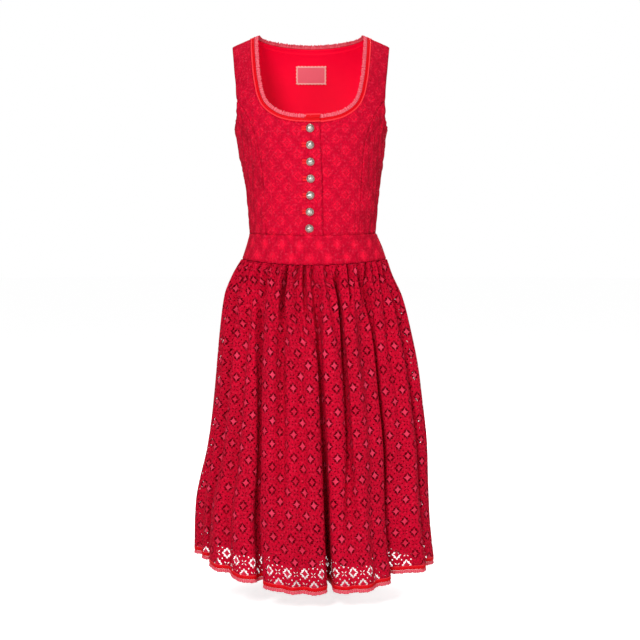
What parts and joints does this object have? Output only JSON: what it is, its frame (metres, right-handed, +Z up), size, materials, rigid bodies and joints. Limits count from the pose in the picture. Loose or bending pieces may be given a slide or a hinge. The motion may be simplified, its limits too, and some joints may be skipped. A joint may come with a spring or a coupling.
{
  "type": "dirndl dress",
  "caption": "Sleeveless knee-length lace dress with a wide U neckline, buttoned fitted bodice, shaped waistband and gathered skirt with an openwork border, worn form.",
  "frame": {"origin": "midway between the two shoulder straps, at the height where the shoulders carry them", "axes": "+Z up along the wearer, -Y towards the front, +X towards the wearer's left"},
  "size_m": [0.4832, 0.3814, 1.083],
  "materials": {
    "bodice_lace": "red floral lace stitched over a bright red ground, matte",
    "skirt_lace": "deep red guipure-like lace with star openings, matte with slight sheen",
    "lining": "bright red plain-weave lining, soft satin sheen",
    "braid": "bright red woven braid with a raised edge",
    "frill": "pink fine gathered ribbon, matte",
    "label": "woven label with a pale plain border, blank",
    "button_metal": "antique silver, worn bright on the high spots"
  },
  "bodies": {
    "root": {"front_right": "bodice_lace", "front_left": "bodice_lace", "side_front_left": "bodice_lace", "side_front_right": "bodice_lace", "side_back_left": "bodice_lace", "side_back_right": "bodice_lace", "back_centre": "bodice_lace", "back_lining": "lining", "neck_label": "label", "neck_cord_right": "braid", "neck_cord_left": "braid", "neck_cord_back": "braid", "neck_frill_right": "frill", "neck_frill_left": "frill", "neck_frill_back": "frill", "button_1": "button_metal", "button_2": "button_metal", "button_3": "button_metal", "button_4": "button_metal", "button_5": "button_metal", "button_6": "button_metal", "button_7": "button_metal", "waistband_front": "bodice_lace", "waistband_back": "bodice_lace", "skirt_lace_front": "skirt_lace", "skirt_lace_back": "skirt_lace", "skirt_lining_front": "lining", "skirt_lining_back": "lining", "hem_cord_front": "braid", "hem_cord_back": "braid", "hem_frill_front": "frill", "hem_frill_back": "frill"}
  },
  "joints": []
}
